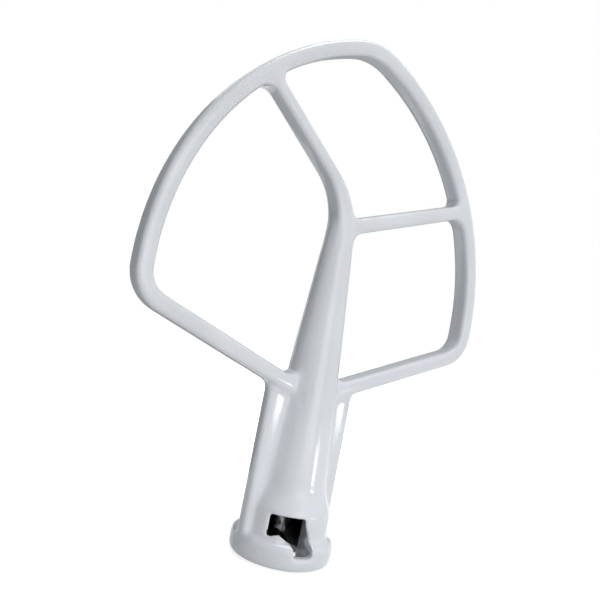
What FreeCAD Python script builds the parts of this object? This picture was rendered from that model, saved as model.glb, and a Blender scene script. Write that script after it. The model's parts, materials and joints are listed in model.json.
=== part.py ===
import FreeCAD, Part
import math
import os
import Sketcher
from FreeCAD import Placement, Rotation, Vector

# Flat beater for a stand mixer, cast in one piece.
# The origin is the centre of the hub's end face, +Z runs along the shaft axis to the tip of the blade,
# and the blade lies in the XZ plane with its pin slot on the -Y side. Lengths in mm, angles in degrees.
SIZES = {
    # Centreline of the frame
    "tip_height": 178.0,
    "tip_radius": 22.8,
    "side_radius": 92.4,
    "blade_half_width": 68.1,
    "corner_radius": 11.0,
    "bar_rise": 20.2,
    "bar_axis_height": 54.4,
    # Section of the bars: edges rounded by a share of the narrowest bar's width, and a thinner outer rim
    "bar_width": 5.5,
    "bar_depth": 8.2,
    "edge_share": 0.36,
    "rim_depth": 5.4,
    "rim_slope": 64.0,
    # Rounding of the inside corners: at the wings, in the gap above the rib, and in the two lower gaps
    "wing_corner_radius": 3.6,
    "upper_corner_radius": 2.6,
    "lower_corner_radius": 4.8,
    # Cross rib and diagonal arm
    "rib_axis_height": 114.6,
    "rib_width": 5.5,
    "arm_rise": 38.7,
    "arm_axis_height": 124.0,
    "arm_width": 4.2,
    "arm_outer_bend": 30.0,
    "arm_inner_bend": 22.0,
    # Stem: a round cone over a flat core
    "core_foot_width": 15.4,
    "core_taper": 3.5,
    "stem_foot_height": 24.0,
    "stem_foot_radius": 12.0,
    "stem_top_height": 118.0,
    "stem_top_radius": 4.6,
    # Hub
    "wing_width": 35.0,
    "wing_depth": 5.0,
    "valley_foot_radius": 4.5,
    "valley_top_radius": 0.8,
    "valley_overlap": 0.15,
    "collar_radius": 14.8,
    "collar_height": 17.4,
    "shoulder_radius": 4.5,
    "flange_radius": 17.7,
    "flange_height": 8.6,
    "flange_edge_radius": 2.6,
    # Shaft bore and pin slot
    "bore_radius": 6.45,
    "bore_depth": 42.0,
    "keyway_turn": 8.5,
    "keyway_half_width": 3.3,
    "keyway_reach": 14.0,
    "lip_height": 4.8,
    "slot_root": 5.5,
    "slot_reach": 18.7,
    "flare_foot_height": 7.6,
    "flare_head": 1.2,
    "flare_head_reach": 15.8,
    "window_turn": 30.0,
    "window_left": 6.2,
    "window_right": 5.5,
    "window_top": 16.7,
    "seat_height": 9.3,
    "detent_height": 10.7,
    "detent_offset": 2.5,
    "ramp_foot_height": 7.4,
    "ramp_foot_offset": 3.4,
    "cut_clearance": 1.0,
}

doc = FreeCAD.newDocument("flat_beater")
sheet = doc.addObject("Spreadsheet::Sheet", "sizes")
for row, (alias, value) in enumerate(SIZES.items(), start=1):
    sheet.set(f"A{row}", alias)
    sheet.set(f"B{row}", str(value))
    sheet.setAlias(f"B{row}", alias)
doc.recompute()

# A front sketch has the part's X as its x, the part's Z as its y, and its normal points to the front, -Y.
FRONT = Rotation(Vector(1, 0, 0), 90)
BACK = Rotation(Vector(1, 0, 0), -90)
NORMAL = Vector(0, 0, 1)
START, END, CENTRE = range(1, 4)
X_AXIS, Y_AXIS = -1, -2
ORIGIN = (X_AXIS, START)
ABOUT_X, ABOUT_Y, ABOUT_Z = "1; 0; 0", "0; 1; 0", "0; 0; 1"
# Two lengths closer than this are the same.
SAME = 1e-4
# Flat steps that make up the quarter round of an edge.
EDGE_STEPS = 3
EDGE_RADIUS = "@edge_share * @arm_width"


def size(alias):
    return float(sheet.get(alias))


def bind(obj, prop, expression):
    """Tie a property to the sheet, where @ stands before the name of a cell."""
    obj.setExpression(prop, expression.replace("@", "sizes."))


def value_of(expression):
    """Number that an expression over the sheet gives."""
    return float(sheet.evalExpression(expression.replace("@", "")))


def turn(axis, angle):
    """Expression of a rotation in degrees."""
    return f"create(<<rotation>>; create(<<vector>>; {axis}); {angle})"


def placed(base, *turns):
    """Expression of a placement at a base point, with its last turn made first."""
    return f"create(<<placement>>; create(<<vector>>; {base}); {' * '.join(turns)})"


def front_sketch(name):
    sketch = doc.addObject("Sketcher::SketchObject", name)
    sketch.Placement = Placement(Vector(), FRONT)
    return sketch


def relate(sketch, kind, *references):
    sketch.addConstraint(Sketcher.Constraint(kind, *references))


def dimension(sketch, kind, references, value, expression):
    """Add a driving dimension and tie it to the sheet."""
    index = sketch.addConstraint(Sketcher.Constraint(kind, *references, value))
    bind(sketch, f"Constraints[{index}]", expression)


def line(sketch, start, end):
    return sketch.addGeometry(Part.LineSegment(start, end))


def arc(sketch, centre, radius, start, end):
    """Arc drawn anticlockwise from start to end, in radians."""
    return sketch.addGeometry(Part.ArcOfCircle(Part.Circle(centre, NORMAL, radius), start, end))


def direction(angle):
    return Vector(math.cos(angle), math.sin(angle), 0)


def place(name):
    """Value of a cell, negative for a name with a minus sign and 0 for no name."""
    if not name:
        return 0.0
    return -size(name[1:]) if name.startswith("-") else size(name)


def polygon(sketch, corners):
    """Closed polygon whose corners are pairs of names of cells, with 0 for a corner on an axis."""
    points = [Vector(place(x), place(y), 0) for x, y in corners]
    lines = [line(sketch, a, b) for a, b in zip(points, points[1:] + points[:1])]
    for first, second in zip(lines, lines[1:] + lines[:1]):
        relate(sketch, "Coincident", first, END, second, START)
    for edge, corner in zip(lines, corners):
        for kind, axis, name in zip(("DistanceX", "DistanceY"), (Y_AXIS, X_AXIS), corner):
            if not name:
                relate(sketch, "PointOnObject", edge, START, axis)
            elif name.startswith("-"):
                dimension(sketch, kind, (edge, START, *ORIGIN), -place(name), f"@{name[1:]}")
            else:
                dimension(sketch, kind, (*ORIGIN, edge, START), place(name), f"@{name}")


def frame_centreline():
    """Closed centreline of the frame: tip arc, side arcs, corner arcs and the two rising lower bars."""
    sketch = front_sketch("frame_centreline")
    tip_r, side_r, corner_r = size("tip_radius"), size("side_radius"), size("corner_radius")
    rise = math.radians(size("bar_rise"))
    bar_foot = Vector(0, size("bar_axis_height"), 0)
    tip_centre = Vector(0, size("tip_height") - tip_r, 0)
    side_x = size("blade_half_width") - side_r
    side_centre = Vector(side_x, tip_centre.y - math.sqrt((side_r - tip_r) ** 2 - side_x ** 2), 0)
    join = math.atan2(tip_centre.y - side_centre.y, -side_x)

    # The corner's centre lies one corner radius above the bar and inside the side arc.
    along, normal = direction(rise), direction(rise + math.pi / 2)
    base = bar_foot + normal * corner_r - side_centre
    half = base.dot(along)
    reach = -half + math.sqrt(half ** 2 - base.dot(base) + (side_r - corner_r) ** 2)
    corner = bar_foot + normal * corner_r + along * reach
    turn = math.atan2(corner.y - side_centre.y, corner.x - side_x)
    foot = rise - math.pi / 2
    bar_end = bar_foot + along * reach

    def left(point):
        return Vector(-point.x, point.y, 0)

    tip = arc(sketch, tip_centre, tip_r, join, math.pi - join)
    right_side = arc(sketch, side_centre, side_r, turn, join)
    right_corner = arc(sketch, corner, corner_r, foot, turn)
    right_bar = line(sketch, bar_foot, bar_end)
    left_bar = line(sketch, left(bar_end), bar_foot)
    left_corner = arc(sketch, left(corner), corner_r, math.pi - turn, math.pi - foot)
    left_side = arc(sketch, left(side_centre), side_r, math.pi - join, math.pi - turn)

    relate(sketch, "Tangent", tip, START, right_side, END)
    relate(sketch, "Tangent", right_side, START, right_corner, END)
    relate(sketch, "Tangent", right_corner, START, right_bar, END)
    relate(sketch, "Tangent", left_corner, END, left_bar, START)
    relate(sketch, "Tangent", left_side, END, left_corner, START)
    relate(sketch, "Tangent", tip, END, left_side, START)
    relate(sketch, "Coincident", right_bar, START, left_bar, END)
    relate(sketch, "PointOnObject", right_bar, START, Y_AXIS)
    relate(sketch, "PointOnObject", tip, CENTRE, Y_AXIS)
    relate(sketch, "Symmetric", right_side, CENTRE, left_side, CENTRE, Y_AXIS)
    relate(sketch, "Symmetric", right_bar, END, left_bar, START, Y_AXIS)
    dimension(sketch, "Radius", (tip,), tip_r, "@tip_radius")
    dimension(sketch, "Radius", (right_side,), side_r, "@side_radius")
    dimension(sketch, "Radius", (right_corner,), corner_r, "@corner_radius")
    dimension(sketch, "DistanceY", (*ORIGIN, tip, CENTRE), tip_centre.y, "@tip_height - @tip_radius")
    dimension(sketch, "DistanceX", (right_side, CENTRE, *ORIGIN), -side_x,
              "@side_radius - @blade_half_width")
    dimension(sketch, "DistanceY", (*ORIGIN, right_bar, START), bar_foot.y, "@bar_axis_height")
    dimension(sketch, "Angle", (right_bar,), rise, "@bar_rise * 1deg")
    return sketch


def stem_and_arm():
    """Flat core of the stem, which bends to the left into the diagonal arm."""
    sketch = front_sketch("stem_and_arm")
    foot_half, taper = size("core_foot_width") / 2, math.radians(size("core_taper"))
    foot_z = size("bar_axis_height")
    outer_r, inner_r = size("arm_outer_bend"), size("arm_inner_bend")
    rise = math.radians(size("arm_rise"))
    half = size("arm_width") / 2
    run = 2 * size("blade_half_width")
    out = direction(math.pi - rise)
    across = direction(math.pi / 2 - rise)
    arm_foot = Vector(0, size("arm_axis_height"), 0)
    arm_end = arm_foot + out * run

    def bend(side, radius):
        """Centre of the arc that is tangent to one side of the core and the same side of the arm."""
        core_inward = direction(math.pi - taper) if side > 0 else direction(math.pi + taper)
        core_point = Vector(side * foot_half, foot_z, 0) + core_inward * radius
        arm_point = arm_foot + across * (side * half - radius)
        offset = arm_point - core_point
        core_along = Vector(-core_inward.y, core_inward.x, 0)
        step = offset.dot(across) / core_along.dot(across)
        centre = core_point + core_along * step
        return centre, centre - core_inward * radius, centre + across * radius

    outer_centre, right_top, upper_foot = bend(1, outer_r)
    inner_centre, left_top, lower_foot = bend(-1, inner_r)
    bend_end = math.pi / 2 - rise
    foot = line(sketch, Vector(-foot_half, foot_z, 0), Vector(foot_half, foot_z, 0))
    right = line(sketch, Vector(foot_half, foot_z, 0), right_top)
    outer_bend = arc(sketch, outer_centre, outer_r, -taper, bend_end)
    upper = line(sketch, upper_foot, arm_end + across * half)
    cap = line(sketch, arm_end + across * half, arm_end - across * half)
    lower = line(sketch, arm_end - across * half, lower_foot)
    inner_bend = arc(sketch, inner_centre, inner_r, taper, bend_end)
    left = line(sketch, left_top, Vector(-foot_half, foot_z, 0))
    middle = line(sketch, arm_foot, arm_end)
    sketch.setConstruction(middle, True)

    relate(sketch, "Coincident", foot, END, right, START)
    relate(sketch, "Tangent", right, END, outer_bend, START)
    relate(sketch, "Tangent", outer_bend, END, upper, START)
    relate(sketch, "Coincident", upper, END, cap, START)
    relate(sketch, "Coincident", cap, END, lower, START)
    relate(sketch, "Tangent", lower, END, inner_bend, END)
    relate(sketch, "Tangent", inner_bend, START, left, START)
    relate(sketch, "Coincident", left, END, foot, START)
    relate(sketch, "Symmetric", foot, START, foot, END, Y_AXIS)
    relate(sketch, "PointOnObject", middle, START, Y_AXIS)
    relate(sketch, "Symmetric", cap, START, cap, END, middle, END)
    relate(sketch, "Perpendicular", cap, middle)
    relate(sketch, "Parallel", upper, middle)
    relate(sketch, "Parallel", lower, middle)
    dimension(sketch, "DistanceX", (foot, START, foot, END), 2 * foot_half, "@core_foot_width")
    dimension(sketch, "DistanceY", (*ORIGIN, foot, START), foot_z, "@bar_axis_height")
    dimension(sketch, "Angle", (right,), math.pi / 2 + taper, "90deg + @core_taper * 1deg")
    dimension(sketch, "Angle", (left,), -math.pi / 2 - taper, "-90deg - @core_taper * 1deg")
    dimension(sketch, "Radius", (outer_bend,), outer_r, "@arm_outer_bend")
    dimension(sketch, "Radius", (inner_bend,), inner_r, "@arm_inner_bend")
    dimension(sketch, "DistanceY", (*ORIGIN, middle, START), arm_foot.y, "@arm_axis_height")
    dimension(sketch, "Angle", (middle,), math.pi - rise, "180deg - @arm_rise * 1deg")
    dimension(sketch, "Distance", (middle,), run, "2 * @blade_half_width")
    dimension(sketch, "Distance", (cap,), 2 * half, "@arm_width")
    return sketch


def cross_rib():
    """Straight rib from the shaft axis out past the right side, parallel to the lower bar."""
    rib = doc.addObject("Part::Plane", "cross_rib")
    bind(rib, "Length", "2 * @blade_half_width")
    bind(rib, "Width", "@rib_width")
    x = "-@rib_width / 2 * sin(@bar_rise * 1deg)"
    z = "@rib_axis_height + @rib_width / 2 * cos(@bar_rise * 1deg)"
    bind(rib, "Placement", placed(f"{x}; 0; {z}", turn(ABOUT_Y, "-@bar_rise"), turn(ABOUT_X, "-90")))
    return rib


def hub_wings():
    """Plate of the two wings, from inside the flange up to the middle of the lower bars."""
    plate = doc.addObject("Part::Plane", "hub_wings")
    plate.Placement = Placement(Vector(), BACK)
    top = "@bar_axis_height + @wing_width / 2 * tan(@bar_rise * 1deg)"
    bind(plate, "Length", "@wing_width")
    bind(plate, "Width", f"{top} - @flange_height / 2")
    bind(plate, "Placement.Base.x", "-@wing_width / 2")
    bind(plate, "Placement.Base.z", top)
    return plate


def face_of(name, *outlines):
    face = doc.addObject("Part::Face", name)
    face.Sources = outlines
    face.FaceMakerClass = "Part::FaceMakerBullseye"
    return face


def offset_of(name, source, expression):
    offset = doc.addObject("Part::Offset2D", name)
    offset.Source = source
    bind(offset, "Value", expression)
    return offset


def fuse(name, *shapes):
    union = doc.addObject("Part::MultiFuse", name)
    union.Shapes = shapes
    union.Refine = True
    return union


def combine(kind, name, base, tool):
    result = doc.addObject(f"Part::{kind}", name)
    result.Base = base
    result.Tool = tool
    result.Refine = True
    return result


def mirrored(name, source, normal):
    mirror = doc.addObject("Part::Mirroring", name)
    mirror.Source = source
    mirror.Normal = normal
    return mirror


def merged_face(pieces):
    """One face from flat pieces that touch or overlap."""
    first, *others = [piece.Shape for piece in pieces]
    return Part.makeShell(first.fuse(others).Faces).removeSplitter().Faces[0]


def rounded_corners(wire, outwards, alias):
    """Round the corners of a wire on one side, by an offset to that side and back."""
    step = size(alias) if outwards else -size(alias)
    return wire.makeOffset2D(step).makeOffset2D(-step)


def flat_feature(name, face):
    feature = doc.addObject("Part::Feature", name)
    feature.Shape = face
    return feature


def blade_plan(pieces):
    """Plan of the frame, rib, arm and stem core, with the corners of its gaps rounded."""
    face = merged_face(pieces)
    outline = face.OuterWire
    gaps = [wire for wire in face.Wires if not wire.isSame(outline)]
    upper_gap = max(gaps, key=lambda wire: wire.BoundBox.ZMin)
    wires = [outline]
    for gap in gaps:
        alias = "upper_corner_radius" if gap.isSame(upper_gap) else "lower_corner_radius"
        wires.append(rounded_corners(gap, False, alias))
    return flat_feature("blade_plan", Part.makeFace(wires, "Part::FaceMakerBullseye"))


def wing_plan(pieces, centreline):
    """Plan of the two wings, rounded into the lower bars and cut off at the bars' centreline."""
    outline = rounded_corners(merged_face(pieces).OuterWire, True, "wing_corner_radius")
    return flat_feature("wing_plan", Part.Face(outline).cut(Part.Face(centreline.Shape)).Faces[0])


def plate_layer(name, base, length):
    layer = doc.addObject("Part::Extrusion", name)
    layer.Base = base
    layer.DirMode = "Custom"
    layer.Dir = Vector(0, -1, 0)
    layer.Solid = True
    bind(layer, "LengthFwd", length)
    return layer


def front_face(layer):
    """Front face of a layer, as the plan of the next one."""
    doc.recompute()
    return flat_feature(f"{layer.Name}_face", min(layer.Shape.Faces, key=lambda side: side.CenterOfMass.y))


def edge_layers(name, plan, foot, sweep):
    """Layers from a foot plane forwards, which turn a plate's edge by a sweep of degrees in flat steps."""
    layers = []
    for step in range(EDGE_STEPS):
        low, high = (f"sin({sweep} * {count / EDGE_STEPS} * 1deg)" for count in (step, step + 1))
        base = front_face(layers[-1]) if layers else plan
        layer = plate_layer(f"{name}_edge_{step + 1}", base, f"{EDGE_RADIUS} * ({high} - {low})")
        bind(layer, "TaperAngle", f"-{sweep} * {(step + 0.5) / EDGE_STEPS}")
        if not layers:
            bind(layer, "Placement.Base.y", f"-({foot})")
        layers.append(layer)
    return layers


def mirrored_plate(name, plan, half_depth, layers):
    """Plate with straight sides between two halves of layers, of which the back is the front mirrored."""
    middle = plate_layer(f"{name}_middle", plan, f"2 * ({half_depth})")
    bind(middle, "Placement.Base.y", half_depth)
    front = fuse(f"{name}_front", *layers)
    return fuse(name, middle, front, mirrored(f"{name}_back", front, Vector(0, 1, 0)))


def rounded_plate(name, plan, depth):
    """Plate over a plan, with the edges of its front and back rounded."""
    half_depth = f"{depth} / 2 - {EDGE_RADIUS}"
    return mirrored_plate(name, plan, half_depth, edge_layers(name, plan, half_depth, "90"))


def rim_envelope(plan):
    """Filled outline of the frame, which slopes on the front and back to a thinner outer rim."""
    half_depth = "@rim_depth / 2"
    layers = edge_layers("rim", plan, half_depth, "@rim_slope")
    slope = plate_layer("rim_slope", front_face(layers[-1]), f"@bar_depth / 2 - {half_depth}")
    bind(slope, "TaperAngle", "-@rim_slope")
    return mirrored_plate("rim", plan, half_depth, [*layers, slope])


def blade():
    """The flat casting: frame, rib, arm and stem core, and the thinner wings below them."""
    centreline = frame_centreline()
    outer = offset_of("frame_outer", centreline, "@bar_width / 2")
    inner = offset_of("frame_inner", centreline, "-@bar_width / 2")
    ring = face_of("frame_ring", outer, inner)
    inside = face_of("frame_inside", centreline)
    arm = combine("Common", "arm", face_of("long_arm", stem_and_arm()), inside)
    rib = combine("Common", "rib", cross_rib(), inside)
    wings = hub_wings()
    doc.recompute()
    plate = rounded_plate("plate", blade_plan((ring, arm, rib)), "@bar_depth")
    return [
        combine("Common", "blade", plate, rim_envelope(face_of("frame_filled", outer))),
        rounded_plate("wings", wing_plan((ring, arm, rib, wings), centreline), "@wing_depth"),
    ]


def circle_edges(feature, radius, height):
    """Names of a feature's circular edges of a given radius at a given height."""
    return [
        f"Edge{number}"
        for number, edge in enumerate(feature.Shape.Edges, start=1)
        if isinstance(edge.Curve, Part.Circle)
        and abs(edge.Curve.Radius - radius) < SAME and abs(edge.Curve.Center.z - height) < SAME
    ]


def hub():
    """Turned form of the hub: flange, collar, sloped shoulder and the tapered stem."""
    body = doc.addObject("PartDesign::Body", "hub")
    plane = next(item for item in body.Origin.OriginFeatures if item.Role == "XZ_Plane")
    profile = body.newObject("Sketcher::SketchObject", "hub_profile")
    profile.AttachmentSupport = (plane, [""])
    profile.MapMode = "FlatFace"
    polygon(profile, [
        (0, 0),
        ("flange_radius", 0),
        ("flange_radius", "flange_height"),
        ("collar_radius", "flange_height"),
        ("collar_radius", "collar_height"),
        ("stem_foot_radius", "stem_foot_height"),
        ("stem_top_radius", "stem_top_height"),
        (0, "stem_top_height"),
    ])
    turned = body.newObject("PartDesign::Revolution", "turned_hub")
    turned.Profile = profile
    turned.ReferenceAxis = (profile, ["V_Axis"])
    turned.Angle = 360
    doc.recompute()

    def edge_fillet(name, base, edges, radius):
        fillet = body.newObject("PartDesign::Fillet", name)
        fillet.Base = (base, edges)
        bind(fillet, "Radius", radius)
        doc.recompute()
        return fillet

    flange = circle_edges(turned, size("flange_radius"), 0) \
        + circle_edges(turned, size("flange_radius"), size("flange_height"))
    rim = edge_fillet("flange_rim", turned, flange, "@flange_edge_radius")
    shoulder = circle_edges(rim, size("collar_radius"), size("collar_height")) \
        + circle_edges(rim, size("stem_foot_radius"), size("stem_foot_height"))
    edge_fillet("shoulder", rim, shoulder, "@shoulder_radius")
    return body


def valley_section(name, height, radius):
    """Quarter section of the stem's foot, with a concave arc from the round stem down to the wing's face."""
    sketch = doc.addObject("Sketcher::SketchObject", name)
    bind(sketch, "Placement.Base.z", height)
    slope = "(@stem_foot_radius - @stem_top_radius) / (@stem_top_height - @stem_foot_height)"
    stem = f"@stem_foot_radius - ({height} - @stem_foot_height) * {slope} - @valley_overlap"
    face = "@wing_depth / 2 - @valley_overlap"
    arc_r = size(radius)
    stem_r = value_of(stem)
    face_y = value_of(face)
    centre = Vector(math.sqrt((stem_r + arc_r) ** 2 - (face_y + arc_r) ** 2), face_y + arc_r, 0)
    lean = math.atan2(centre.y, centre.x)
    tangent = direction(lean) * stem_r
    spoke = line(sketch, Vector(), tangent)
    blend = arc(sketch, centre, arc_r, lean - math.pi, -math.pi / 2)
    drop = line(sketch, Vector(centre.x, face_y, 0), Vector(centre.x, 0, 0))
    floor = line(sketch, Vector(centre.x, 0, 0), Vector())
    relate(sketch, "Coincident", spoke, START, *ORIGIN)
    relate(sketch, "Coincident", spoke, END, blend, START)
    relate(sketch, "Coincident", blend, END, drop, START)
    relate(sketch, "Coincident", drop, END, floor, START)
    relate(sketch, "Coincident", floor, END, *ORIGIN)
    relate(sketch, "PointOnObject", drop, END, X_AXIS)
    relate(sketch, "PointOnObject", blend, CENTRE, spoke)
    relate(sketch, "Vertical", drop)
    relate(sketch, "Vertical", blend, CENTRE, blend, END)
    dimension(sketch, "Distance", (spoke,), stem_r, stem)
    dimension(sketch, "Radius", (blend,), arc_r, f"@{radius}")
    dimension(sketch, "DistanceY", (*ORIGIN, drop, START), face_y, face)
    return sketch


def stem_valleys():
    """Soft valleys between the round stem and the wings, which close up at the lower bars."""
    top = "@bar_axis_height + @core_foot_width / 2 * tan(@bar_rise * 1deg)"
    quarter = doc.addObject("Part::Loft", "valley_quarter")
    quarter.Sections = [
        valley_section("valley_foot", "@collar_height - @cut_clearance", "valley_foot_radius"),
        valley_section("valley_top", top, "valley_top_radius"),
    ]
    quarter.Solid = True
    quarter.Ruled = True
    half = fuse("valley_half", quarter, mirrored("valley_left", quarter, Vector(1, 0, 0)))
    return fuse("valleys", half, mirrored("valley_back", half, Vector(0, 1, 0)))


def shaft_bore():
    bore = doc.addObject("Part::Cylinder", "shaft_bore")
    bind(bore, "Radius", "@bore_radius")
    bind(bore, "Height", "@bore_depth + @cut_clearance")
    bind(bore, "Placement.Base.z", "-@cut_clearance")
    return bore


def pin_window():
    """Side window that the shaft's pin turns into, with a ramp, a detent and a seat along its sill."""
    sketch = doc.addObject("Sketcher::SketchObject", "pin_window_outline")
    bind(sketch, "Placement", placed("0; 0; 0", turn(ABOUT_Z, "-@window_turn"), turn(ABOUT_X, "90")))
    polygon(sketch, [
        ("-window_left", "seat_height"),
        ("-detent_offset", "detent_height"),
        ("ramp_foot_offset", "ramp_foot_height"),
        ("window_right", "ramp_foot_height"),
        ("window_right", "window_top"),
        ("-window_left", "window_top"),
    ])
    window = doc.addObject("Part::Extrusion", "pin_window")
    window.Base = sketch
    window.DirMode = "Normal"
    window.Solid = True
    bind(window, "LengthFwd", "@slot_reach")
    return window


def slot_section(name, height, corner):
    """Level section of the slot, from inside the bore out to the corner of its right wall."""
    sketch = doc.addObject("Sketcher::SketchObject", name)
    bind(sketch, "Placement", placed(f"0; 0; {height}", turn(ABOUT_Z, "-@keyway_turn")))
    polygon(sketch, [
        ("-keyway_half_width", "-slot_root"),
        ("-keyway_half_width", corner[1]),
        corner,
        ("keyway_half_width", "-slot_root"),
    ])
    return sketch


def slot_prism(name, foot, top, reach):
    """Upright part of the slot between two heights."""
    prism = doc.addObject("Part::Extrusion", name)
    prism.Base = slot_section(f"{name}_outline", foot, ("keyway_half_width", reach))
    prism.DirMode = "Normal"
    prism.Solid = True
    bind(prism, "LengthFwd", f"{top} - ({foot})")
    return prism


def slot_flare():
    """Upper part of the slot, whose right wall turns from the keyway's side to the window's side."""
    flare = doc.addObject("Part::Loft", "slot_flare")
    flare.Sections = [
        slot_section("flare_foot", "@flare_foot_height", ("keyway_half_width", "-slot_reach")),
        slot_section("flare_top", "@window_top", ("-flare_head", "-flare_head_reach")),
    ]
    flare.Solid = True
    flare.Ruled = True
    return flare


def pin_slot():
    """Keyway through the flange, the gap above its lip, the flare over it and the window beside it."""
    keyway = slot_prism("keyway", "-@cut_clearance", "@flare_foot_height", "-keyway_reach")
    gap = slot_prism("lip_gap", "@lip_height", "@flare_foot_height", "-slot_reach")
    return fuse("pin_slot", keyway, gap, slot_flare(), pin_window())


casting = fuse("casting", *blade(), hub(), stem_valleys())
doc.recompute()
beater = combine("Cut", "beater", casting, fuse("hollows", shaft_bore(), pin_slot()))
beater.Label = "flat_beater"
doc.recompute()

for obj in doc.Objects:
    if "Invalid" in obj.State or "Error" in obj.State:
        raise RuntimeError(f"{obj.Label}: {obj.getStatusString()}")
if beater.Shape.isNull() or not beater.Shape.isValid():
    raise RuntimeError(f"{beater.Label} has no valid shape")
print(beater.Label, len(beater.Shape.Solids), "solid", round(beater.Shape.Volume), "mm3")

os.makedirs("parts", exist_ok=True)
beater.Shape.exportStep(f"parts/{beater.Label}.step")
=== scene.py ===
import json
import math

import bmesh
import bpy
from bpy.props import FloatProperty, FloatVectorProperty, IntProperty, PointerProperty
from mathutils import Matrix, Vector


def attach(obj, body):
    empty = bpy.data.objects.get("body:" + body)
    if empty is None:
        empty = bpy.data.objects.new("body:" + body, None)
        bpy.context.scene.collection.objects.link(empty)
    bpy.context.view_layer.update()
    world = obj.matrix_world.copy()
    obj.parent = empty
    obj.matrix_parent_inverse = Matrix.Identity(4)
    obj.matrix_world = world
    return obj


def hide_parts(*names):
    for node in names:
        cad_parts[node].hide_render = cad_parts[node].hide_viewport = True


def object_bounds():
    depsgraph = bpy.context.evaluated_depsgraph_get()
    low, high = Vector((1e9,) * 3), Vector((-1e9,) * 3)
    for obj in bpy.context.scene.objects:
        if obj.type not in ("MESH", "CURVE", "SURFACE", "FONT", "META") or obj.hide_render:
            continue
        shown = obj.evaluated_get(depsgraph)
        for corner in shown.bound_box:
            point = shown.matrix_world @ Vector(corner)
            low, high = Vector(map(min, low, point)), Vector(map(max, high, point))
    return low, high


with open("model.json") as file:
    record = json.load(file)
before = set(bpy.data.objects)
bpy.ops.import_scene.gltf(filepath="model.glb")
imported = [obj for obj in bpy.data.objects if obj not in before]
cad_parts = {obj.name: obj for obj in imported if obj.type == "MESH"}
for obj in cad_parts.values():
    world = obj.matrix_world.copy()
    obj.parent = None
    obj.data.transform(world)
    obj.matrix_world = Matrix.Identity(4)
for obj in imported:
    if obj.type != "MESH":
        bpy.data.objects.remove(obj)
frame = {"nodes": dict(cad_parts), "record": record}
CAD_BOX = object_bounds()

bl_info = {
    "name": "Stand mixer flat beater",
    "version": (1, 0, 0),
    "blender": (4, 5, 0),
    "location": "3D View > Sidebar > Beater",
    "description": "Coated casting and photo stage for a packed flat beater",
    "category": "Object",
}

MM = 0.001
UP = (0.0, 0.0, 1.0)
WHITE = (1.0, 1.0, 1.0, 1.0)

MOUNTS = {mount["name"]: mount for mount in frame["record"]["mounts"]}
BORE_RADIUS = MOUNTS["shaft_socket"]["dims"]["r_mm"] * MM
BORE_DEPTH = MOUNTS["shaft_socket"]["dims"]["length_mm"] * MM
SLOT_OUT = Vector(MOUNTS["pin_slot"]["axis"])
SLOT_RIGHT = Vector((-SLOT_OUT.y, SLOT_OUT.x, 0.0))
SLOT_BOXES = [
    opening["box_m"] for opening in frame["record"]["physics"]["openings"]
    if opening["name"] in ("keyway", "slot_mouth", "pin_window")
]

# A mix node has two inputs and an output, by number, for each kind of value.
MIX_SOCKETS = {"FLOAT": (2, 3, 0), "RGBA": (6, 7, 2)}

# Noise is near 0.5. A pattern goes from one end to the other between two limits of it.
NOISE_LIMITS = (0.3, 0.7)
TONE_LIMITS = (0.35, 0.65)
PATCH_LIMITS = (0.38, 0.60)
RING_LIMITS = (0.2, 0.8)

# The white coat: lengths of its changes of tone and gloss, and its lowest and highest roughness as shares
# of the one that is set.
TONE_LENGTH = 28.0 * MM
GLOSS_LENGTH = 12.0 * MM
COAT_ROUGHNESS_SHARES = (0.8, 1.3)
COAT_IOR = 1.5
# The ripples start to fade at this share of the height at which they end.
RIPPLE_FADE = 0.8
# Pin-holes are in cells of this size. The radii, inner and outer, are shares of a cell, and the cells that
# have one are those whose random number is above the choice, about one in five.
SPECK_CELL = 9.0 * MM
SPECK_RADII = (0.018, 0.032)
SPECK_CHOICE = (0.80, 0.84)

# The line where the coat ends is uneven by this depth, in waves of this length.
RAGGED_LENGTH = 1.5 * MM
RAGGED_DEPTH = 0.12 * MM
# The bare metal goes this far past the bore's wall and its blind end, and has soft ends.
WALL_MARGIN = 0.15 * MM
WALL_SOFT = 0.3 * MM
END_MARGIN = 1.5 * MM
END_SOFT = 0.4 * MM
# The bare sill starts this far inside the bore's wall and this far from the axis on the slot's side.
SILL_OVERLAP = 1.0 * MM
SILL_START = 4.0 * MM
SILL_SOFT = 0.2 * MM

# The painted reflection, a lighter streak on the bore's wall: how squarely the wall faces its middle, its
# reach up and down, and its patches.
REFLECTION_FACING = (0.90, 0.995)
REFLECTION_BELOW = 1.0 * MM
REFLECTION_ABOVE = 2.5 * MM
REFLECTION_SOFT = 3.0 * MM
PATCH_LENGTH = 1.6 * MM
PATCH_DETAIL = 4.0
PATCH_SCALE = (1.0, 1.0, 0.3)
# Rings around the bore's wall: noise that is long around the shaft and short along it.
RING_LENGTH = 2.0 * MM
RING_SCALE = (0.2, 0.2, 2.5)
METAL_ROUGHNESS_SHARES = (0.7, 1.3)

# The stage: patterns of the floor and the dark cards, in metres, and the camera's nearest sight.
FLOOR_GRAIN_LENGTH = 0.2
FLOOR_ROUGHNESS = (0.55, 0.65)
# The floor is at its darkest up to this share of the shadow's reach.
SHADOW_CORE = 0.2
CARD_MOTTLE_LENGTH = 0.05
CARD_ROUGHNESS = (0.8, 0.95)
NEAREST_SIGHT = 10.0 * MM


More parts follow.
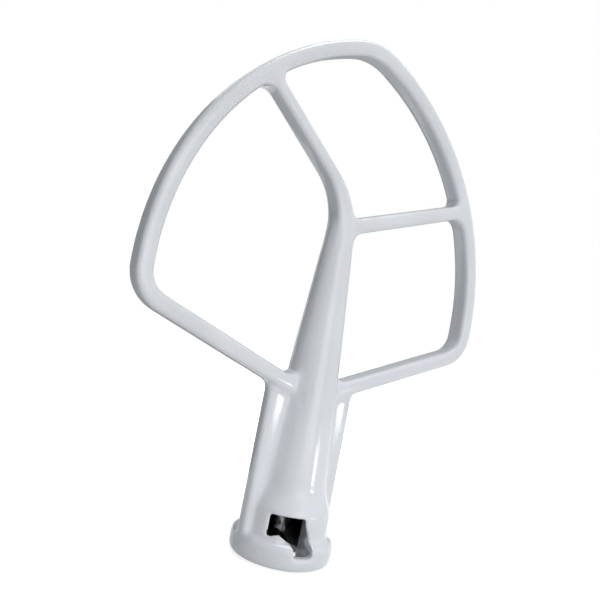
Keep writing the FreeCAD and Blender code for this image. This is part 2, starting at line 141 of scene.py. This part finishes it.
class CastingSettings(bpy.types.PropertyGroup):
    """Sizes of the coated skin over the casting."""

    grid: FloatProperty(
        name="Grid",
        description="Spacing of the even mesh that the coat is made on, which stays under 200,000 triangles",
        default=0.56 * MM, min=0.55 * MM, unit="LENGTH", subtype="DISTANCE")
    weld: FloatProperty(
        name="Weld", description="Points of the casting closer than this are one point",
        default=0.001 * MM, precision=6, unit="LENGTH", subtype="DISTANCE")
    edge_passes: IntProperty(
        name="Edge passes", description="Smoothing passes that round the casting's edges under the coat",
        default=8, min=0)
    slot_passes: IntProperty(
        name="Slot passes", description="Smoothing passes around the pin slot, whose edges are crisp",
        default=2, min=0)
    slot_margin: FloatProperty(
        name="Slot margin", description="Distance around the pin slot that keeps its crisp edges",
        default=2.5 * MM, unit="LENGTH", subtype="DISTANCE")
    edge_strength: FloatProperty(
        name="Edge strength", description="Share of the way to its neighbours that a point moves in a pass",
        default=0.5, min=0.0, max=1.0, subtype="FACTOR")


class CoatSettings(bpy.types.PropertyGroup):
    """Colours and grain of the coat and of the bare metal in the bore."""

    coat_colour: FloatVectorProperty(
        name="Coat", description="Colour of the white coat",
        default=(0.78, 0.80, 0.835, 1.0), size=4, min=0.0, max=1.0, subtype="COLOR")
    coat_shade: FloatVectorProperty(
        name="Coat shade", description="Colour of the coat where it is a little thinner",
        default=(0.74, 0.765, 0.80, 1.0), size=4, min=0.0, max=1.0, subtype="COLOR")
    speck_colour: FloatVectorProperty(
        name="Specks", description="Colour of the few pin-holes in the coat",
        default=(0.20, 0.20, 0.21, 1.0), size=4, min=0.0, max=1.0, subtype="COLOR")
    # A painted reflection: this lighter colour makes a streak on the bore's dark wall where a light would be
    # mirrored.
    metal_reflection_colour: FloatVectorProperty(
        name="Bare metal", description="Colour of the bare metal where the shaft has rubbed it",
        default=(0.62, 0.63, 0.66, 1.0), size=4, min=0.0, max=1.0, subtype="COLOR")
    # Nearly black colour of the rest of the bore's bare metal and of the sill.
    metal_dark: FloatVectorProperty(
        name="Dark metal", description="Colour of the bare metal where it is stained",
        default=(0.022, 0.022, 0.024, 1.0), size=4, min=0.0, max=1.0, subtype="COLOR")
    bare_foot: FloatProperty(
        name="Bare foot", description="Height above the hub's end at which the bore's bare metal starts",
        default=2.5 * MM, unit="LENGTH", subtype="DISTANCE")
    sill_width: FloatProperty(
        name="Sill width", description="Length of the pin window's bare sill, around the hub",
        default=10.2 * MM, unit="LENGTH", subtype="DISTANCE")
    sill_shift: FloatProperty(
        name="Sill shift",
        description="Middle of the bare sill, from the middle of the pin slot to the right",
        default=-1.6 * MM, unit="LENGTH", subtype="DISTANCE")
    sill_reach: FloatProperty(
        name="Sill reach", description="Distance from the shaft axis at which the bare sill ends",
        default=14.3 * MM, unit="LENGTH", subtype="DISTANCE")
    sill_top: FloatProperty(
        name="Sill top", description="Height that the bare sill stays under",
        default=11.1 * MM, unit="LENGTH", subtype="DISTANCE")
    # Turn and height of the streak of painted reflection in the bore.
    reflection_turn: FloatProperty(
        name="Rub turn", description="Turn about the shaft axis, from +X, of the rubbed streak in the bore",
        default=math.radians(62.0), subtype="ANGLE")
    reflection_height: FloatProperty(
        name="Rub height", description="Height of the middle of the rubbed streak",
        default=9.0 * MM, unit="LENGTH", subtype="DISTANCE")
    coat_roughness: FloatProperty(
        name="Coat roughness", description="Roughness of the glossy coat",
        default=0.08, min=0.0, max=1.0, subtype="FACTOR")
    metal_roughness: FloatProperty(
        name="Metal roughness", description="Roughness of the bare metal",
        default=0.3, min=0.0, max=1.0, subtype="FACTOR")
    ripple_length: FloatProperty(
        name="Ripple length", description="Length of the ripples in the coat",
        default=0.8 * MM, unit="LENGTH", subtype="DISTANCE")
    ripple_height: FloatProperty(
        name="Ripple height", description="Height of the ripples in the coat of the hub",
        default=0.03 * MM, precision=6, unit="LENGTH", subtype="DISTANCE")
    ripple_top: FloatProperty(
        name="Ripple top", description="Height above which the coat has no ripples",
        default=62.0 * MM, unit="LENGTH", subtype="DISTANCE")


class StageSettings(bpy.types.PropertyGroup):
    """Camera, floor, dark cards, sky and lamps."""

    aim: FloatVectorProperty(
        name="Aim", description="Point at the middle of the picture",
        default=(-11.2 * MM, 0.0, 86.8 * MM), size=3, unit="LENGTH", subtype="TRANSLATION")
    distance: FloatProperty(
        name="Distance", description="From the camera to the point that it aims at",
        default=224.2 * MM, unit="LENGTH", subtype="DISTANCE")
    azimuth: FloatProperty(
        name="Azimuth", description="Turn of the camera about the shaft axis, from the front",
        default=math.radians(-33.53), subtype="ANGLE")
    elevation: FloatProperty(
        name="Elevation", description="Rise of the camera above the point that it aims at",
        default=math.radians(-2.65), subtype="ANGLE")
    roll: FloatProperty(
        name="Roll", description="Turn of the camera about its own line of sight",
        default=math.radians(11.03), subtype="ANGLE")
    lens: FloatProperty(
        name="Lens", description="Focal length of the camera", default=39.56, unit="CAMERA")
    sensor: FloatProperty(
        name="Sensor", description="Width of the camera's sensor", default=36.0, unit="CAMERA")

    floor_size: FloatProperty(
        name="Floor", description="Width of the floor", default=4.0, unit="LENGTH", subtype="DISTANCE")
    floor_colour: FloatVectorProperty(
        name="Floor colour", description="Colour of the pale floor",
        default=(0.50, 0.50, 0.50, 1.0), size=4, min=0.0, max=1.0, subtype="COLOR")
    floor_lift: FloatProperty(
        name="Floor lift", description="Brightness that the floor adds beside the object for the camera",
        default=0.8, min=0.0, max=1.0, subtype="FACTOR")
    shadow_reach: FloatProperty(
        name="Shadow reach", description="Distance from the object at which the floor is wholly white",
        default=0.12, unit="LENGTH", subtype="DISTANCE")

    card_colour: FloatVectorProperty(
        name="Card colour",
        description="Colour of the dark cards behind, which the coat mirrors at its edges",
        default=(0.03, 0.03, 0.032, 1.0), size=4, min=0.0, max=1.0, subtype="COLOR")
    card_glow: FloatProperty(
        name="Card glow", description="Brightness of the dark cards",
        default=0.3, min=0.0, max=1.0, subtype="FACTOR")
    left_card_size: FloatVectorProperty(
        name="Left card size", description="Width and height of the dark card behind at the left",
        default=(0.31, 0.19), size=2, unit="LENGTH")
    left_card_place: FloatVectorProperty(
        name="Left card place", description="Middle of the dark card behind at the left",
        default=(-0.195, 0.10, 0.10), size=3, unit="LENGTH", subtype="TRANSLATION")
    low_card_size: FloatVectorProperty(
        name="Low card size", description="Width and height of the dark card low behind",
        default=(0.11, 0.06), size=2, unit="LENGTH")
    low_card_place: FloatVectorProperty(
        name="Low card place", description="Middle of the dark card low behind",
        default=(0.005, 0.10, 0.035), size=3, unit="LENGTH", subtype="TRANSLATION")
    right_card_size: FloatVectorProperty(
        name="Right card size", description="Width and height of the dark card behind at the right",
        default=(0.18, 0.19), size=2, unit="LENGTH")
    right_card_place: FloatVectorProperty(
        name="Right card place", description="Middle of the dark card behind at the right",
        default=(0.115, 0.10, 0.10), size=3, unit="LENGTH", subtype="TRANSLATION")

    sky_colour: FloatVectorProperty(
        name="Sky colour", description="Colour of the even light from all around",
        default=(0.86, 0.93, 1.0, 1.0), size=4, min=0.0, max=1.0, subtype="COLOR")
    sky_light: FloatProperty(
        name="Sky light", description="Strength of the even light from all around", default=0.19, min=0.0)
    soft_size: FloatVectorProperty(
        name="Soft lamps size", description="Width and height of the front, top, side and back lamps",
        default=(0.5, 0.5), size=2, unit="LENGTH")
    front_power: FloatProperty(
        name="Front lamp", description="Power of the soft lamp in front",
        default=1.25, min=0.0, unit="POWER")
    front_place: FloatVectorProperty(
        name="Front lamp place", description="Middle of the soft lamp in front",
        default=(0.0, -0.85, 0.2), size=3, unit="LENGTH", subtype="TRANSLATION")
    top_power: FloatProperty(
        name="Top lamp", description="Power of the soft lamp above",
        default=4.0, min=0.0, unit="POWER")
    top_place: FloatVectorProperty(
        name="Top lamp place", description="Middle of the soft lamp above",
        default=(0.1, -0.1, 0.95), size=3, unit="LENGTH", subtype="TRANSLATION")
    side_power: FloatProperty(
        name="Side lamp", description="Power of the soft lamp at the right",
        default=0.15, min=0.0, unit="POWER")
    side_place: FloatVectorProperty(
        name="Side lamp place", description="Middle of the soft lamp at the right",
        default=(0.8, -0.3, 0.3), size=3, unit="LENGTH", subtype="TRANSLATION")
    back_power: FloatProperty(
        name="Back lamp", description="Power of the soft lamp behind",
        default=4.2, min=0.0, unit="POWER")
    back_place: FloatVectorProperty(
        name="Back lamp place", description="Middle of the soft lamp behind",
        default=(0.3, 0.8, 0.35), size=3, unit="LENGTH", subtype="TRANSLATION")
    low_power: FloatProperty(
        name="Low lamp", description="Power of the wide lamp low in front",
        default=2.15, min=0.0, unit="POWER")
    low_size: FloatVectorProperty(
        name="Low lamp size", description="Width and height of the wide lamp low in front",
        default=(0.5, 0.1), size=2, unit="LENGTH")
    low_place: FloatVectorProperty(
        name="Low lamp place", description="Middle of the wide lamp low in front",
        default=(-0.14, -0.8, 0.06), size=3, unit="LENGTH", subtype="TRANSLATION")
    glint_power: FloatProperty(
        name="Glint lamp", description="Power of the small lamp that glints in the wings",
        default=0.07, min=0.0, unit="POWER")
    glint_size: FloatVectorProperty(
        name="Glint lamp size", description="Width and height of the small lamp that glints in the wings",
        default=(0.09, 0.024), size=2, unit="LENGTH")
    glint_place: FloatVectorProperty(
        name="Glint lamp place", description="Middle of the small lamp that glints in the wings",
        default=(0.181, -0.25, 0.015), size=3, unit="LENGTH", subtype="TRANSLATION")


def set_up_node(tree, kind, inputs=None, **options):
    """Add a node with its options, and set or link its inputs by name or number."""
    added = tree.nodes.new(kind)
    for name, value in options.items():
        setattr(added, name, value)
    for key, value in (inputs or {}).items():
        if isinstance(value, bpy.types.NodeSocket):
            tree.links.new(value, added.inputs[key])
        else:
            added.inputs[key].default_value = value
    return added


def mix(tree, kind, factor, first, second):
    """A number or colour that goes from a first one at a factor of 0 to a second one at 1."""
    first_input, second_input, output = MIX_SOCKETS[kind]
    inputs = {"Factor": factor, first_input: first, second_input: second}
    return set_up_node(tree, "ShaderNodeMix", inputs, data_type=kind).outputs[output]


def calculate(tree, operation, first, second):
    """The result of a maths operation on two numbers."""
    return set_up_node(tree, "ShaderNodeMath", {0: first, 1: second}, operation=operation).outputs[0]


def product(tree, first, *others):
    """Numbers multiplied: for masks, 1 only where all of them are 1."""
    for other in others:
        first = calculate(tree, "MULTIPLY", first, other)
    return first


def vector_node(tree, operation, *vectors):
    """A node that works on one or two vectors."""
    return set_up_node(tree, "ShaderNodeVectorMath", dict(enumerate(vectors)), operation=operation)


def ramp(tree, value, low, high, at_low=0.0, at_high=1.0):
    """A smooth ramp of a value between two limits."""
    inputs = {"Value": value, "From Min": low, "From Max": high, "To Min": at_low, "To Max": at_high}
    added = set_up_node(tree, "ShaderNodeMapRange", inputs, interpolation_type="SMOOTHSTEP")
    return added.outputs["Result"]


def under(tree, value, limit, soft):
    """1 where a value is under a limit and 0 above it, with a soft end."""
    return ramp(tree, value, limit, limit + soft, 1.0, 0.0)


def between(tree, value, low, high, soft):
    """1 where a value is between two limits and 0 outside them, with soft ends."""
    return product(tree, ramp(tree, value, low - soft, low), under(tree, value, high, soft))


def noise(tree, place, length, detail=2.0):
    """Noise with waves of a given length."""
    inputs = {"Vector": place, "Scale": 1.0 / length, "Detail": detail}
    return set_up_node(tree, "ShaderNodeTexNoise", inputs).outputs["Fac"]


def scaled(tree, place, scale):
    """A place with each axis scaled, which stretches or squeezes a pattern."""
    return set_up_node(tree, "ShaderNodeMapping", {"Vector": place, "Scale": scale}).outputs[0]


def along(tree, place, way):
    """How far a place lies from the origin along a way."""
    return vector_node(tree, "DOT_PRODUCT", place, way).outputs["Value"]


def level_part(tree, place):
    """The part of a place that is square to the shaft axis."""
    return vector_node(tree, "MULTIPLY", place, (1.0, 1.0, 0.0)).outputs[0]


def new_material(name):
    """A material with an empty node tree, that tree, and a place on the surface in Object coordinates."""
    material = bpy.data.materials.new(name)
    material.use_nodes = True
    tree = material.node_tree
    tree.nodes.clear()
    return material, tree, set_up_node(tree, "ShaderNodeTexCoord").outputs["Object"]


def end_surface(tree, inputs):
    """End a material's tree with its shader and its output."""
    shader = set_up_node(tree, "ShaderNodeBsdfPrincipled", inputs)
    set_up_node(tree, "ShaderNodeOutputMaterial", {"Surface": shader.outputs[0]})


def bare_mask(tree, place, coat):
    """1 on the bore's wall and blind end and on the pin's sill, which have no coat, and 0 elsewhere."""
    ragged = ramp(tree, noise(tree, place, RAGGED_LENGTH), *NOISE_LIMITS, -RAGGED_DEPTH, RAGGED_DEPTH)
    from_axis = vector_node(tree, "LENGTH", level_part(tree, place)).outputs["Value"]
    radius = calculate(tree, "ADD", from_axis, ragged)
    height = calculate(tree, "ADD", along(tree, place, UP), ragged)
    bore = product(
        tree,
        under(tree, radius, BORE_RADIUS + WALL_MARGIN, WALL_SOFT),
        between(tree, height, coat.bare_foot, BORE_DEPTH + END_MARGIN, END_SOFT))

    half = coat.sill_width / 2
    right = along(tree, place, SLOT_RIGHT)
    sill = product(
        tree,
        between(tree, right, coat.sill_shift - half, coat.sill_shift + half, SILL_SOFT),
        between(tree, radius, BORE_RADIUS - SILL_OVERLAP, coat.sill_reach, SILL_SOFT),
        ramp(tree, along(tree, place, SLOT_OUT), SILL_START, SILL_START + SILL_SOFT),
        between(tree, height, coat.bare_foot, coat.sill_top, SILL_SOFT))
    return calculate(tree, "MAXIMUM", bore, sill)


def coat_colours(tree, place, coat):
    """White coat with slow changes of tone and a few pin-holes."""
    tone = ramp(tree, noise(tree, place, TONE_LENGTH), *TONE_LIMITS)
    white = mix(tree, "RGBA", tone, coat.coat_colour, coat.coat_shade)
    cells = set_up_node(tree, "ShaderNodeTexVoronoi", {"Vector": place, "Scale": 1.0 / SPECK_CELL})
    dot = ramp(tree, cells.outputs["Distance"], *SPECK_RADII, 1.0, 0.0)
    number = set_up_node(tree, "ShaderNodeSeparateColor", {0: cells.outputs["Color"]}).outputs["Red"]
    chosen = ramp(tree, number, *SPECK_CHOICE)
    return mix(tree, "RGBA", product(tree, dot, chosen), white, coat.speck_colour)


def painted_reflection_mask(tree, place, coat):
    """1 on the painted reflection, a lighter streak on the bore's wall, and 0 elsewhere."""
    outward = vector_node(tree, "NORMALIZE", level_part(tree, place)).outputs[0]
    side = (math.cos(coat.reflection_turn), math.sin(coat.reflection_turn), 0.0)
    facing = ramp(tree, along(tree, outward, side), *REFLECTION_FACING)
    height = along(tree, place, UP)
    near = between(tree, height, coat.reflection_height - REFLECTION_BELOW, coat.reflection_height + REFLECTION_ABOVE, REFLECTION_SOFT)
    patches = noise(tree, scaled(tree, place, PATCH_SCALE), PATCH_LENGTH, PATCH_DETAIL)
    return product(tree, facing, near, ramp(tree, patches, *PATCH_LIMITS))


def coat_material(coat):
    """Glossy white coat outside and dark bare metal in the bore, in one shader."""
    material, tree, place = new_material("white_coat")
    bare = bare_mask(tree, place, coat)
    # Nearly black bare metal, with a lighter streak painted on it as a reflection.
    metal = mix(tree, "RGBA", painted_reflection_mask(tree, place, coat), coat.metal_dark, coat.metal_reflection_colour)
    colour = mix(tree, "RGBA", bare, coat_colours(tree, place, coat), metal)

    rings = ramp(tree, noise(tree, scaled(tree, place, RING_SCALE), RING_LENGTH), *RING_LIMITS)
    coat_range = [share * coat.coat_roughness for share in COAT_ROUGHNESS_SHARES]
    gloss = ramp(tree, noise(tree, place, GLOSS_LENGTH), *NOISE_LIMITS, *coat_range)
    metal_range = [share * coat.metal_roughness for share in METAL_ROUGHNESS_SHARES]
    scuff = ramp(tree, rings, 0.0, 1.0, *metal_range)
    roughness = mix(tree, "FLOAT", bare, gloss, scuff)

    height = along(tree, place, UP)
    fade_start = RIPPLE_FADE * coat.ripple_top
    depth = ramp(tree, height, fade_start, coat.ripple_top, coat.ripple_height, 0.0)
    ripples = noise(tree, place, coat.ripple_length, detail=1.0)
    grain = mix(tree, "FLOAT", bare, ripples, rings)
    bump = set_up_node(tree, "ShaderNodeBump", {"Strength": 1.0, "Distance": depth, "Height": grain})
    end_surface(tree, {
        "Base Color": colour,
        "Metallic": bare,
        "Roughness": roughness,
        "Normal": bump.outputs[0],
        "IOR": COAT_IOR,
    })
    return material


def seen_background(tree):
    """1 for the rays that should see a white background: from the camera, in gloss and through glass."""
    path = set_up_node(tree, "ShaderNodeLightPath").outputs
    gloss = calculate(tree, "MAXIMUM", path["Is Glossy Ray"], path["Is Transmission Ray"])
    return calculate(tree, "MAXIMUM", path["Is Camera Ray"], gloss)


def floor_material(stage):
    """Pale floor that keeps the shadow and reads as white to the camera."""
    material, tree, place = new_material("pale_floor")
    grain = ramp(tree, noise(tree, place, FLOOR_GRAIN_LENGTH), *NOISE_LIMITS, *FLOOR_ROUGHNESS)
    from_middle = vector_node(tree, "LENGTH", place).outputs["Value"]
    core = SHADOW_CORE * stage.shadow_reach
    white = ramp(tree, from_middle, core, stage.shadow_reach, stage.floor_lift, 1.0)
    end_surface(tree, {
        "Base Color": stage.floor_colour,
        "Roughness": grain,
        "Specular IOR Level": 0.0,
        "Emission Color": WHITE,
        "Emission Strength": product(tree, seen_background(tree), white),
    })
    return material


def card_material(stage):
    """Dull dark card with a faint mottle."""
    material, tree, place = new_material("dark_card")
    mottle = ramp(tree, noise(tree, place, CARD_MOTTLE_LENGTH), *NOISE_LIMITS, *CARD_ROUGHNESS)
    end_surface(tree, {
        "Base Color": stage.card_colour,
        "Roughness": mottle,
        "Specular IOR Level": 0.0,
        "Emission Color": WHITE,
        "Emission Strength": stage.card_glow,
    })
    return material


def white_world(stage):
    """Even soft light from all around, which reads as white where it is seen."""
    world = bpy.data.worlds.new("white_world")
    world.use_nodes = True
    tree = world.node_tree
    tree.nodes.clear()
    seen = seen_background(tree)
    colour = mix(tree, "RGBA", seen, stage.sky_colour, WHITE)
    strength = mix(tree, "FLOAT", seen, stage.sky_light, 1.0)
    sky = set_up_node(tree, "ShaderNodeBackground", {"Color": colour, "Strength": strength})
    set_up_node(tree, "ShaderNodeOutputWorld", {"Surface": sky.outputs[0]})
    return world


def link_object(name, data):
    """Add an object to the scene, at the origin."""
    added = bpy.data.objects.new(name, data)
    bpy.context.scene.collection.objects.link(added)
    return added


def link_mesh(name, bm):
    """Make an object at the origin from a bmesh, and free the bmesh."""
    mesh = bpy.data.meshes.new(name)
    bm.to_mesh(mesh)
    bm.free()
    return link_object(name, mesh)


def even_mesh(piece, grid):
    """Replace a piece's mesh by one of even quads that follows it."""
    remesh = piece.modifiers.new("even_mesh", "REMESH")
    remesh.mode = "VOXEL"
    remesh.voxel_size = grid
    remesh.adaptivity = 0.0
    evaluated = piece.evaluated_get(bpy.context.evaluated_depsgraph_get())
    mesh = bpy.data.meshes.new_from_object(evaluated)
    piece.modifiers.clear()
    old = piece.data
    piece.data = mesh
    bpy.data.meshes.remove(old)


def near_slot(place, margin):
    """Whether a point is in the pin slot or no farther from it than a margin."""
    return any(
        all(low - margin <= value <= high + margin for value, low, high in zip(place, *box))
        for box in SLOT_BOXES)


def round_edges(mesh, settings):
    """Soften a closed mesh's edges as a coat does, in fewer passes around the pin slot."""
    bm = bmesh.new()
    bm.from_mesh(mesh)
    off_slot = [vert for vert in bm.verts if not near_slot(vert.co, settings.slot_margin)]
    for number in range(settings.edge_passes):
        moved = bm.verts if number < settings.slot_passes else off_slot
        bmesh.ops.smooth_vert(
            bm, verts=moved, factor=settings.edge_strength,
            use_axis_x=True, use_axis_y=True, use_axis_z=True)
    for face in bm.faces:
        face.smooth = True
    if not all(edge.is_manifold for edge in bm.edges):
        raise RuntimeError("the coat isn't closed")
    bm.to_mesh(mesh)
    bm.free()


def level_square(width):
    """A bmesh of one level square face, with its middle at the origin."""
    bm = bmesh.new()
    bmesh.ops.create_grid(bm, x_segments=1, y_segments=1, size=width / 2)
    return bm


def upright_card(name, size, place, material):
    """Stand a card behind the object that only its gloss shows."""
    bm = level_square(1.0)
    bmesh.ops.scale(bm, vec=(*size, 1.0), verts=bm.verts)
    bmesh.ops.rotate(bm, matrix=Matrix.Rotation(math.radians(90.0), 3, "X"), verts=bm.verts)
    bmesh.ops.translate(bm, vec=place, verts=bm.verts)
    card = link_mesh(name, bm)
    card.data.materials.append(material)
    card.visible_camera = False
    card.visible_diffuse = False
    card.visible_shadow = False


def soft_lamp(name, power, size, place, target, in_gloss=True):
    """Put a lamp at a place and turn it to a target. The camera never sees it, and the gloss may."""
    lamp = bpy.data.lights.new(name, "AREA")
    lamp.energy = power
    lamp.shape = "RECTANGLE"
    lamp.size, lamp.size_y = size
    hung = link_object(name, lamp)
    hung.location = place
    hung.rotation_euler = (target - Vector(place)).to_track_quat("-Z", "Y").to_euler()
    hung.visible_camera = False
    hung.visible_glossy = in_gloss


def hang_lamps(stage):
    """Soft lamps around the object, and a small one at the right that faces straight back."""
    middle = (Vector(CAD_BOX[0]) + Vector(CAD_BOX[1])) / 2
    soft_lamp("front_lamp", stage.front_power, stage.soft_size, stage.front_place, middle)
    soft_lamp("top_lamp", stage.top_power, stage.soft_size, stage.top_place, middle)
    soft_lamp("side_lamp", stage.side_power, stage.soft_size, stage.side_place, middle)
    # These two light the coat and aren't mirrored in it.
    soft_lamp("low_lamp", stage.low_power, stage.low_size, stage.low_place, middle, in_gloss=False)
    soft_lamp("back_lamp", stage.back_power, stage.soft_size, stage.back_place, middle, in_gloss=False)
    straight_back = Vector((stage.glint_place[0], 0.0, stage.glint_place[2]))
    soft_lamp("glint_lamp", stage.glint_power, stage.glint_size, stage.glint_place, straight_back)


def photo_camera(stage):
    """A camera that sees the object from the photograph's side, turned about its line of sight."""
    camera = bpy.data.cameras.new("photo_camera")
    camera.lens = stage.lens
    camera.sensor_width = stage.sensor
    camera.clip_start = NEAREST_SIGHT
    placed = link_object("photo_camera", camera)
    away = Vector((
        math.sin(stage.azimuth) * math.cos(stage.elevation),
        -math.cos(stage.azimuth) * math.cos(stage.elevation),
        math.sin(stage.elevation)))
    right = Vector((math.cos(stage.azimuth), math.sin(stage.azimuth), 0.0))
    level = Matrix((right, away.cross(right), away)).transposed()
    turned = level @ Matrix.Rotation(stage.roll, 3, "Z")
    placed.matrix_world = Matrix.Translation(Vector(stage.aim) + away * stage.distance) @ turned.to_4x4()
    return placed


class BEATER_OT_casting(bpy.types.Operator):
    """Dress the casting in its soft-edged white coat"""

    bl_idname = "beater.casting"
    bl_label = "Coated casting"

    def execute(self, context):
        settings = context.scene.beater_casting
        bm = bmesh.new()
        bm.from_mesh(frame["nodes"]["flat_beater"].data)
        bmesh.ops.remove_doubles(bm, verts=bm.verts, dist=settings.weld)
        casting = link_mesh("coated_casting", bm)
        even_mesh(casting, settings.grid)
        round_edges(casting.data, settings)

        casting.data.materials.append(coat_material(context.scene.beater_coat))
        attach(casting, "root")
        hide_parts("flat_beater")
        return {"FINISHED"}


class BEATER_OT_stage(bpy.types.Operator):
    """Set up the floor, the backdrop, the lamps and the camera"""

    bl_idname = "beater.stage"
    bl_label = "Photo stage"

    def execute(self, context):
        stage = context.scene.beater_stage
        floor = link_mesh("floor", level_square(stage.floor_size))
        floor.data.materials.append(floor_material(stage))
        context.scene.world = white_world(stage)

        dark = card_material(stage)
        upright_card("left_card", stage.left_card_size, stage.left_card_place, dark)
        upright_card("low_card", stage.low_card_size, stage.low_card_place, dark)
        upright_card("right_card", stage.right_card_size, stage.right_card_place, dark)

        hang_lamps(stage)
        context.scene.camera = photo_camera(stage)
        context.scene.view_settings.view_transform = "Standard"
        return {"FINISHED"}


SETTINGS = {
    "beater_casting": CastingSettings,
    "beater_coat": CoatSettings,
    "beater_stage": StageSettings,
}
OPERATORS = (BEATER_OT_casting, BEATER_OT_stage)


class VIEW3D_PT_beater(bpy.types.Panel):
    """Settings and steps of the flat beater"""

    bl_label = "Flat beater"
    bl_space_type = "VIEW_3D"
    bl_region_type = "UI"
    bl_category = "Beater"

    def draw(self, context):
        for name, group in SETTINGS.items():
            column = self.layout.column()
            for key in group.__annotations__:
                column.prop(getattr(context.scene, name), key)
        for operator in OPERATORS:
            self.layout.operator(operator.bl_idname)


CLASSES = (*SETTINGS.values(), *OPERATORS, VIEW3D_PT_beater)


def register():
    for item in CLASSES:
        bpy.utils.register_class(item)
    for name, group in SETTINGS.items():
        setattr(bpy.types.Scene, name, PointerProperty(type=group))


def unregister():
    for name in SETTINGS:
        delattr(bpy.types.Scene, name)
    for item in reversed(CLASSES):
        bpy.utils.unregister_class(item)


def main():
    """Register the classes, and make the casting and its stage."""
    register()
    bpy.ops.beater.casting()
    bpy.ops.beater.stage()


if __name__ == "__main__":
    main()
